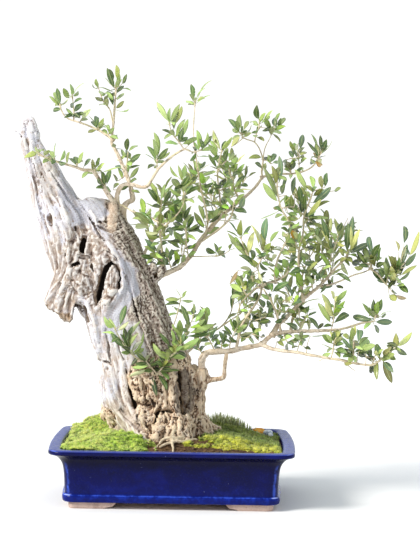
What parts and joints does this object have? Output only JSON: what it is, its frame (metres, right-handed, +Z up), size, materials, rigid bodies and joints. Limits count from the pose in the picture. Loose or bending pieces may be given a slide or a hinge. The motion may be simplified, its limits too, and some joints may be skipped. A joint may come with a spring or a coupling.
{
  "type": "olive bonsai",
  "caption": "Old olive tree trained as a bonsai: hollow trunk with dead wood, leafy limbs, soil and moss, in a blue glazed rectangular pot on bracket feet.",
  "frame": {"origin": "centre of the whole object's outline seen from above, on the plane the pot's feet rest on", "axes": "+Z up along the tree, +X to the object's right seen from its front, along the pot's long side, -Y towards the front"},
  "size_m": [0.684, 0.3258, 0.7234],
  "materials": {
    "deadwood": "matte",
    "bark": "matte",
    "foliage": "satin",
    "dry_leaf": "matte",
    "soil": "matte",
    "moss": "matte",
    "stone": "matte",
    "screen_mesh": "matte",
    "pot_glaze": "gloss"
  },
  "bodies": {
    "root": {"trunk": "deadwood", "pot": "pot_glaze", "drain_screen_left": "screen_mesh", "drain_screen_right": "screen_mesh", "stone_large": "stone", "stone_small": "stone", "soil": "soil", "moss_left": "moss", "moss_right": "moss", "fallen_leaf": "dry_leaf", "limb_crown": "bark", "limb_upper_left": "bark", "limb_left": "bark", "limb_arch": "bark", "branch_right_upper": "bark", "twig_riser": "foliage", "twig_front_upper": "foliage", "twig_front_thin": "foliage", "spray_upper_mid": "foliage", "spray_upper_low": "foliage", "spray_small_hanging": "foliage", "twig_upper_fork": "foliage", "twig_upper_rise": "foliage", "twig_upper_side": "foliage", "twig_top_middle": "foliage", "twig_top_right": "foliage", "branch_right_lower": "bark", "branch_front_lower": "bark", "branch_rising": "bark", "twig_rising_fork": "foliage", "twig_rising_base": "foliage", "branch_middle": "bark", "twig_middle_tall": "foliage", "spray_middle_left": "foliage", "spray_middle_inner": "foliage", "spray_middle_low": "foliage", "spray_middle_right": "foliage", "spray_lower_inner": "foliage", "spray_lower_base": "foliage", "twig_centre_tall": "foliage", "spray_right_top": "foliage", "spray_right_inner": "foliage", "spray_right_low": "foliage", "spray_lower_mid": "foliage", "spray_lower_right": "foliage", "spray_lower_tip": "foliage", "spray_front_tip": "foliage", "spray_front_mid": "foliage", "spray_front_inner": "foliage", "twig_far_right": "foliage", "shoot_trunk_left": "foliage", "shoot_trunk_right": "foliage", "shoot_trunk_upper": "foliage", "limb_back_upper": "bark", "twig_back_middle": "foliage", "twig_back_lower": "foliage", "twig_back_right": "foliage", "limb_back_low": "bark"}
  },
  "joints": []
}
